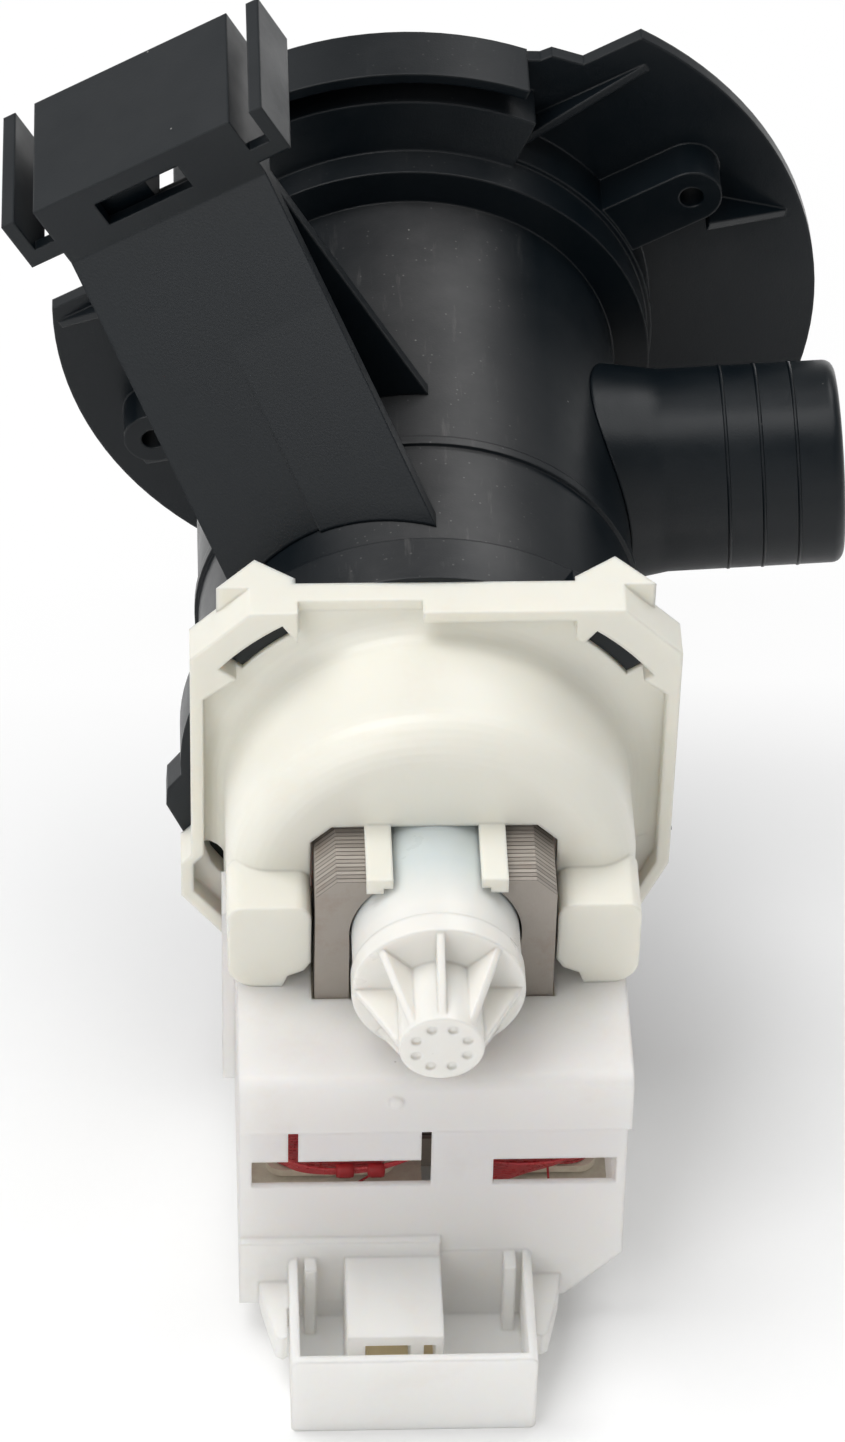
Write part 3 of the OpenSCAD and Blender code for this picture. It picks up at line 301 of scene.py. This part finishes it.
SHEETS = 22
core_low, core_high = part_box("stator_core")
finish = {
    "black_plastic": black_plastic("black_plastic", (0.0018, 0.0042, 0.0064), 0.85),
    "filter_plastic": black_plastic("filter_plastic", (0.0030, 0.0048, 0.0064), 0.0),
    "cream_plastic": pale_plastic("cream_plastic", (0.78, 0.765, 0.69), (0.66, 0.56, 0.42), 0.18, 0.30, 0.42),
    "white_plastic": pale_plastic("white_plastic", (0.98, 0.97, 0.95), (0.84, 0.74, 0.66), 0.30, 0.36, 0.5,
        thin=0.44),
    "can_plastic": pale_plastic("can_plastic", (0.80, 0.785, 0.745), (0.70, 0.67, 0.61), 0.04, 0.27, 0.31,
        front=(0.61, 0.66, 0.66)),
    "tan_plastic": matt("tan_plastic", (0.97, 0.83, 0.70), 0.45, 0.6, 700.0, 0.15),
    "impeller_plastic": pale_plastic("impeller_plastic", (0.78, 0.75, 0.68), (0.5, 0.42, 0.33), 0.3, 0.35, 0.5),
    "red_sleeve": matt("red_sleeve", (0.42, 0.025, 0.03), 0.4, 0.6, 1600.0, 0.3),
    "enamel_wire": enamel("enamel_wire", (0.42, 0.028, 0.036), (0.66, 0.07, 0.08)),
    "lamination_steel": lamination("lamination_steel", SHEETS, core_high.y, core_low.y),
    "terminal_brass": metal("terminal_brass", (0.78, 0.66, 0.42), 0.25, 0.4, (1.0, 0.1, 1.0)),
    "shaft_steel": metal("shaft_steel", (0.72, 0.72, 0.74), 0.16, 0.28, (1.0, 6.0, 1.0)),
    "magnet_ferrite": matt("magnet_ferrite", (0.05, 0.048, 0.046), 0.5, 0.7, 1200.0, 0.3),
    "bearing_carbon": matt("bearing_carbon", (0.07, 0.06, 0.052), 0.4, 0.55, 900.0, 0.2),
    "seal_rubber": matt("seal_rubber", (0.02, 0.02, 0.021), 0.55, 0.75, 800.0, 0.2),
}

for part in frame["record"]["subparts"]:
    materials = nodes[part["node"]].data.materials
    materials.clear()
    materials.append(finish[part["material_slot"]])


# Even shading over the shallow joint between flare and plain length of a spigot
def even(name):
    obj = nodes[name]
    obj.modifiers.new("weld", "WELD").merge_threshold = 0.002 * MM
    obj.modifiers.new("split", "EDGE_SPLIT").split_angle = math.radians(30.0)
    obj.modifiers.new("normals", "WEIGHTED_NORMAL").weight = 50
    for face in obj.data.polygons:
        face.use_smooth = True


# Smooth mesh that takes a finish and moves with the pump's body
def mesh_piece(name, verts, faces, slot):
    data = bpy.data.meshes.new(name)
    data.from_pydata([Vector(v) for v in verts], [], faces)
    data.update()
    for face in data.polygons:
        face.use_smooth = True
    obj = bpy.data.objects.new(name, data)
    scene.collection.objects.link(obj)
    obj.data.materials.append(finish[slot])
    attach(obj, "pump_body")
    return obj


# Tube of a given radius along a list of points
def tube(points, radius, sides):
    points = [Vector(p) for p in points]
    verts, faces = [], []
    normal = None
    for i, here in enumerate(points):
        ahead = (points[min(i + 1, len(points) - 1)] - points[max(i - 1, 0)]).normalized()
        if normal is None:
            normal = ahead.orthogonal().normalized()
        normal = (normal - ahead * normal.dot(ahead)).normalized()
        across = ahead.cross(normal)
        for k in range(sides):
            turn = 2 * math.pi * k / sides
            verts.append(here + radius * (math.cos(turn) * normal + math.sin(turn) * across))
    for i in range(len(points) - 1):
        for k in range(sides):
            a, b = i * sides + k, i * sides + (k + 1) % sides
            faces.append((a, b, b + sides, a + sides))
    faces.append(tuple(range(sides - 1, -1, -1)))
    faces.append(tuple(range((len(points) - 1) * sides, len(points) * sides)))
    return verts, faces


# Point on a rectangle with round corners, at a share of one turn
def round_rect_point(half_x, half_y, corner, share):
    quarter = share * 4.0
    which = int(quarter) % 4
    turn = math.radians(90.0 * (which + (quarter - int(quarter))))
    sign_x = 1 if which in (0, 3) else -1
    sign_y = 1 if which < 2 else -1
    return (
        sign_x * (half_x - corner) + corner * math.cos(turn),
        sign_y * (half_y - corner) + corner * math.sin(turn),
    )


WINDING_WIRE = 0.33 * MM
WINDING_PITCH = 2.15 * WINDING_WIRE
WINDING_CORNER = 5 * MM
WINDING_DEPTH = 6 * MM
WINDING_STEPS = 32


# Close winding of fine enamelled wire, wound over a closed ring of the layers beneath
def fine_winding(side):
    wire, steps = WINDING_WIRE, WINDING_STEPS
    low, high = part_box(side + "_winding")
    core_lo, core_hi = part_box(side + "_coil")
    middle = (low + high) / 2
    half_x, half_y = (high.x - low.x) / 2 - wire, (high.y - low.y) / 2 - wire
    bottom, top = core_lo.z + wire, core_hi.z - wire
    turns = int((top - bottom) / WINDING_PITCH)
    path = []
    for i in range(turns * steps + 1):
        x, y = round_rect_point(half_x, half_y, WINDING_CORNER, (i % steps) / steps)
        path.append((middle.x + x, middle.y + y, top - (top - bottom) * i / (turns * steps)))
    verts, faces = tube(path, wire, 6)
    base = len(verts)
    for z in (bottom - wire * 0.5, top + wire * 0.5):
        for inset in (wire, WINDING_DEPTH):
            for i in range(steps):
                x, y = round_rect_point(half_x - inset, half_y - inset, WINDING_CORNER, i / steps)
                verts.append((middle.x + x, middle.y + y, z))
    low_out, low_in, top_out, top_in = (base + steps * k for k in range(4))
    for i in range(steps):
        j = (i + 1) % steps
        faces.append((low_out + i, low_out + j, top_out + j, top_out + i))
        faces.append((low_in + j, low_in + i, top_in + i, top_in + j))
        faces.append((low_out + j, low_out + i, low_in + i, low_in + j))
        faces.append((top_out + i, top_out + j, top_in + j, top_in + i))
    obj = mesh_piece(side + "_wire_winding", verts, faces, "enamel_wire")
    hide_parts(side + "_coil", side + "_winding")


INLET_TILT = 3.5
INLET_DEPTH = 53.5
INLET_RADIUS = 18.25
RING_REACHES = (56.3, 62.5, 68.8)
RING_HALF_WIDTH = 0.45
RING_RISE = 0.16
RING_SINK = 0.1
RING_STEPS = 128


# Fine rings turned on the inlet spigot
def spigot_rings():
    tilt = math.radians(INLET_TILT)
    axis = Vector((math.cos(tilt), 0.0, math.sin(tilt)))
    up = Vector((-math.sin(tilt), 0.0, math.cos(tilt)))
    out = Vector((0.0, 1.0, 0.0))
    centre = Vector((0.0, -INLET_DEPTH * MM, 0.0))
    half, shoulder = RING_HALF_WIDTH, 0.8 * RING_RISE
    profile = (
        (-half, -RING_SINK),
        (-half / 2, shoulder),
        (0.0, RING_RISE),
        (half / 2, shoulder),
        (half, -RING_SINK),
    )
    count = len(profile)
    verts, faces = [], []
    for reach in RING_REACHES:
        base = len(verts)
        for i in range(RING_STEPS):
            turn = 2 * math.pi * i / RING_STEPS
            spoke = math.cos(turn) * up + math.sin(turn) * out
            for along, rise in profile:
                verts.append(centre + axis * (reach + along) * MM + spoke * (INLET_RADIUS + rise) * MM)
        for i in range(RING_STEPS):
            a, b = base + i * count, base + (i + 1) % RING_STEPS * count
            for k in range(count):
                m = (k + 1) % count
                faces.append((a + k, b + k, b + m, a + m))
    mesh_piece("spigot_rings", verts, faces, "black_plastic")


# Smooth path through a few points given in millimetres as x, depth and height
def smooth_path(points, steps):
    points = [Vector((x, -d, z)) * MM for x, d, z in points]
    ends = [2 * points[0] - points[1]] + points + [2 * points[-1] - points[-2]]
    path = []
    for i in range(1, len(ends) - 2):
        a, b, c, e = ends[i - 1:i + 3]
        for k in range(steps):
            t = k / steps
            slope = (c - a) * t
            bend = (2 * a - 5 * b + 4 * c - e) * t * t
            twist = (3 * b - a - 3 * c + e) * t ** 3
            path.append(0.5 * (2 * b + slope + bend + twist))
    path.append(points[-1])
    return path


# Several wires side by side, joined into one piece
def strands(name, courses, radius, slot):
    verts, faces = [], []
    for course in courses:
        more, sides = tube(smooth_path(course, 8), radius * MM, 8)
        base = len(verts)
        verts += more
        faces += [tuple(base + v for v in face) for face in sides]
    mesh_piece(name, verts, faces, slot)


LOOSE_WIRE = 0.32
LEAD_WIRE = 0.2
RIGHT_WIRES = 9
LEFT_WIRES = 5


# Course of one loose wire on the right, from the highest at share 0 to the lowest at share 1
def right_course(share):
    sag = -41.0 - 4.2 * share
    return (
        (7.0, 180.4, sag + 0.4),
        (11.0, 181.0, sag),
        (16.0, 181.0 - share, sag * 0.7 - 12.7),
        (22.5, 180.0, -41.2),
        (26.0, 178.0, -38.0 + share),
    )


def left_course(share):
    drop = 1.3 * share
    return (
        (-26.5, 179.0, -37.5),
        (-24.4, 180.6, -40.2 - drop),
        (-18.5, 181.0, -42.0 - 0.7 * drop),
        (-10.0, 181.0, -41.6 - 0.5 * drop),
        (-3.5, 180.0, -40.6),
    )


# Loose ends of the windings that hang behind the slots of the cover, and the thin leads below them
def loose_wires():
    right = [right_course(i / (RIGHT_WIRES - 1)) for i in range(RIGHT_WIRES)]
    left = [left_course(i / (LEFT_WIRES - 1)) for i in range(LEFT_WIRES)]
    leads = (
        ((-9.0, 180.5, -42.4), (-11.5, 181.0, -44.4), (-14.5, 181.2, -46.6)),
        ((19.4, 180.4, -42.6), (19.6, 181.0, -44.8), (19.7, 181.2, -47.4)),
    )
    strands("right_loose_wires", right, LOOSE_WIRE, "enamel_wire")
    strands("left_loose_wires", left, LOOSE_WIRE, "enamel_wire")
    strands("lead_wires", leads, LEAD_WIRE, "red_sleeve")


SLEEVE_SPANS = ((-16.6, -13.4), (-11.2, -8.2))
SLEEVE_DEPTH = 181.2
SLEEVE_HEIGHT = -42.2
SLEEVE_PROFILE = ((0.0, 0.5), (0.05, 1.15), (0.25, 1.3), (0.75, 1.3), (0.95, 1.15), (1.0, 0.5))
SLEEVE_SIDES = 16


# Two round ended sleeves on the leads of the cut-out
def lead_sleeves():
    sides = SLEEVE_SIDES
    rings = len(SLEEVE_PROFILE)
    verts, faces = [], []
    for x0, x1 in SLEEVE_SPANS:
        base = len(verts)
        for share, radius in SLEEVE_PROFILE:
            for k in range(sides):
                turn = 2 * math.pi * k / sides
                depth, height = radius * math.cos(turn) - SLEEVE_DEPTH, radius * math.sin(turn) + SLEEVE_HEIGHT
                verts.append(Vector((x0 + (x1 - x0) * share, depth, height)) * MM)
        for i in range(rings - 1):
            for k in range(sides):
                a, b = base + i * sides + k, base + i * sides + (k + 1) % sides
                faces.append((a, a + sides, b + sides, b))
        faces.append(tuple(base + k for k in range(sides)))
        faces.append(tuple(base + (rings - 1) * sides + k for k in range(sides - 1, -1, -1)))
    mesh_piece("lead_sleeves", verts, faces, "red_sleeve")


SHEET_FRONT = 168.2
SHEET_REAR = 185.0
SHEET_LEVEL = -50.9
SHEET_THICKNESS = 0.5
SHEET_CORNER = 2.5
LIP_RADIUS = 1.5
LIP_TURN = 75.0
CORNER_STEPS = 8
LIP_STEPS = 6


# Tan insulating sheet under one winding, with round front corners and a lip turned up at the rear
def insulation(side, x0, x1):
    lip_start = SHEET_REAR - LIP_RADIUS
    rows = []
    for i in range(CORNER_STEPS + 1):
        turn = math.radians(90.0 * i / CORNER_STEPS)
        depth = SHEET_FRONT + SHEET_CORNER * (1 - math.cos(turn))
        rows.append((depth, SHEET_CORNER * (1 - math.sin(turn)), 0.0))
    rows.append((lip_start, 0.0, 0.0))
    for i in range(1, LIP_STEPS + 1):
        turn = math.radians(LIP_TURN * i / LIP_STEPS)
        rows.append((lip_start + LIP_RADIUS * math.sin(turn), 0.0, LIP_RADIUS * (1 - math.cos(turn))))
    verts, faces = [], []
    for level in (SHEET_LEVEL, SHEET_LEVEL - SHEET_THICKNESS):
        for depth, inset, rise in rows:
            for x in (x0 + inset, x1 - inset):
                verts.append(Vector((x, -depth, level + rise)) * MM)
    count = 2 * len(rows)
    for a in range(0, count - 2, 2):
        b = count + a
        faces += [(a, a + 1, a + 3, a + 2), (b + 1, b, b + 2, b + 3)]
        faces += [(a, a + 2, b + 2, b), (a + 3, a + 1, b + 1, b + 3)]
    faces += [(1, 0, count, count + 1), (count - 2, count - 1, 2 * count - 1, 2 * count - 2)]
    mesh_piece(side + "_insulation", verts, faces, "tan_plastic")


FLOOR_SIZE = 8.0
WHITE = (1.0, 1.0, 1.0, 1.0)
WHITE_SHARE = 0.95


# Pale floor that keeps the shadow near the motor and is seen as plain white behind and far from the pump
def make_floor():
    bpy.ops.mesh.primitive_plane_add(size=FLOOR_SIZE, location=(0.0, 0.0, cad_bounds[0].z))
    floor = bpy.context.object
    floor.name = "floor"
    made, tree, shader = start("floor")
    camera = add(tree, "ShaderNodeLightPath").outputs["Is Camera Ray"]
    colour = mix(tree, noise(tree, 3.0), rgba((0.97, 0.97, 0.97)), rgba((0.985, 0.985, 0.985)))
    feed(tree, shader, colour=mix(tree, camera, colour, rgba((0.95, 0.95, 0.95))))
    shader.inputs["Roughness"].default_value = 0.9
    shader.inputs["Specular IOR Level"].default_value = 0.0
    where = coords(tree)
    distance = add(tree, "ShaderNodeVectorMath", {0: where}, operation="LENGTH").outputs["Value"]
    behind = span(tree, axes(tree, where)["Y"], -0.13, -0.03, 0.0, WHITE_SHARE)
    away = span(tree, distance, 0.45, 0.9, 0.0, WHITE_SHARE)
    seen = times(tree, camera, maths(tree, "MAXIMUM", behind, away))
    white = add(tree, "ShaderNodeEmission", {"Color": WHITE, "Strength": 1.0}).outputs[0]
    both = add(tree, "ShaderNodeMixShader", {0: seen, 1: shader.outputs[0], 2: white}).outputs[0]
    tree.links.new(both, tree.nodes["Material Output"].inputs["Surface"])
    floor.data.materials.append(made)


LIGHT_AIM = Vector((0.0, -0.11, -0.02))


def area_light(name, place, size, power):
    data = bpy.data.lights.new(name, "AREA")
    data.shape = "RECTANGLE"
    data.size, data.size_y = size
    data.energy = power
    lamp = bpy.data.objects.new(name, data)
    lamp.location = place
    lamp.rotation_euler = (LIGHT_AIM - Vector(place)).to_track_quat("-Z", "Y").to_euler()
    scene.collection.objects.link(lamp)


# World light: strongest near the horizon and from behind the camera, plain white where it is seen
def make_world():
    world = bpy.data.worlds.new("studio")
    scene.world = world
    world.use_nodes = True
    tree = world.node_tree
    where = axes(tree, add(tree, "ShaderNodeTexCoord").outputs["Generated"])
    rise = span(tree, where["Z"], 0.0, 0.8, 1.3, 0.3)
    side = span(tree, where["X"], -1.0, 1.0, 0.78, 0.88)
    rear = span(tree, where["Y"], -1.0, 1.0, 1.0, 0.4)
    light = times(tree, times(tree, rise, side), rear)
    camera = add(tree, "ShaderNodeLightPath").outputs["Is Camera Ray"]
    back = tree.nodes["Background"]
    back.inputs["Color"].default_value = WHITE
    tree.links.new(span(tree, camera, 0.0, 1.0, light, 1.0), back.inputs["Strength"])


make_camera()
even("inlet_pipe")
even("outlet_pipe")
fine_winding("left")
fine_winding("right")
loose_wires()
lead_sleeves()
insulation("left", -32.4, -1.6)
insulation("right", 8.6, 30.4)
spigot_rings()
make_floor()
area_light("left_softbox", (-0.50, 0.04, 1.12), (0.7, 0.9), 8.6)
area_light("right_softbox", (0.36, 0.06, 1.16), (0.6, 0.9), 3.2)
area_light("rim", (0.42, 0.60, 0.88), (0.5, 0.6), 2.2)
area_light("left_rim", (-0.55, 0.75, 0.50), (0.5, 0.5), 0.38)
area_light("fill", (-0.65, -1.00, 0.80), (0.8, 0.8), 5.0)
make_world()
scene.view_settings.view_transform = "Standard"
